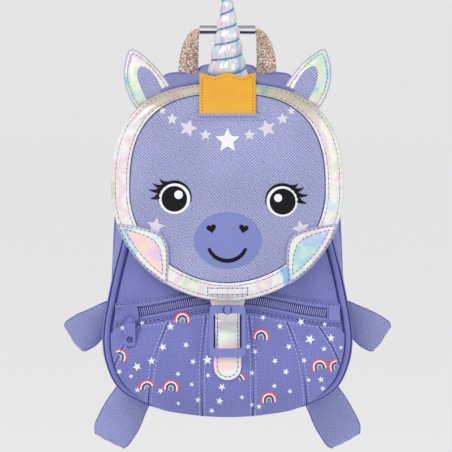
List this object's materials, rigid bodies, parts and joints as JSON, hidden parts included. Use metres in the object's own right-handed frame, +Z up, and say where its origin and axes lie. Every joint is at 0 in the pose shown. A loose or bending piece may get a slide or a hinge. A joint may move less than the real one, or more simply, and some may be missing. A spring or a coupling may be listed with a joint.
{
  "type": "kids animal backpack",
  "caption": "Small child's backpack shaped like a unicorn, with a face flap, horn, ears, zipped pocket, buckle strap and stuffed limbs.",
  "frame": {"origin": "middle of the underside of the metal handle grip, where the bag hangs", "axes": "+X to the right as seen from the front, +Y towards the wearer's back, +Z up; the face looks along -Y"},
  "size_m": [0.2404, 0.1631, 0.3267],
  "materials": {
    "bag_cloth": "woven polyester",
    "flap_cloth": "woven polyester",
    "print_cloth": "printed polyester",
    "piping_cloth": "bias tape over cord",
    "limb_cloth": "stuffed polyester",
    "lilac_web": "ribbed webbing",
    "glitter_web": "metallic glitter webbing",
    "pearl_film": "holographic coated, glossy",
    "patch_film": "holographic coated, glossy",
    "horn_film": "holographic coated, glossy",
    "ear_film": "holographic coated, glossy",
    "strap_film": "holographic coated, glossy",
    "label_leather": "matt",
    "grip_chrome": "polished",
    "zip_nylon": "nylon coil",
    "zip_plastic": "satin",
    "buckle_plastic": "satin"
  },
  "bodies": {
    "bag": {"back_panel": "bag_cloth", "side_band": "bag_cloth", "front_panel": "bag_cloth", "front_piping": "piping_cloth", "mouth_cover": "bag_cloth", "flap_panel": "flap_cloth", "flap_border": "pearl_film", "horn": "horn_film", "label_tab": "label_leather", "handle_web": "glitter_web", "handle_grip": "grip_chrome", "zip_tape": "bag_cloth", "zip_coil": "zip_nylon", "zip_end_tab": "bag_cloth", "zip_slider": "zip_plastic", "pocket_panel": "print_cloth", "closure_strap": "strap_film", "buckle_frame": "buckle_plastic", "buckle_prong": "buckle_plastic", "leaf_patch_left": "patch_film", "ear_left": "ear_film", "ear_inner_left": "flap_cloth", "arm_left": "limb_cloth", "leg_left": "limb_cloth", "shoulder_pad_left": "bag_cloth", "adjuster_left": "zip_plastic", "lower_web_left": "lilac_web", "leaf_patch_right": "patch_film", "ear_right": "ear_film", "ear_inner_right": "flap_cloth", "arm_right": "limb_cloth", "leg_right": "limb_cloth", "shoulder_pad_right": "bag_cloth", "adjuster_right": "zip_plastic", "lower_web_right": "lilac_web"},
    "puller": {"zip_puller": "zip_plastic"}
  },
  "joints": [
    {"name": "puller_swing", "type": "hinge", "parent": "bag", "child": "puller", "pos_m": [-0.06905, -0.09261, -0.20262], "axis": [-1, 0, 0], "range_deg": [0, 150]}
  ]
}
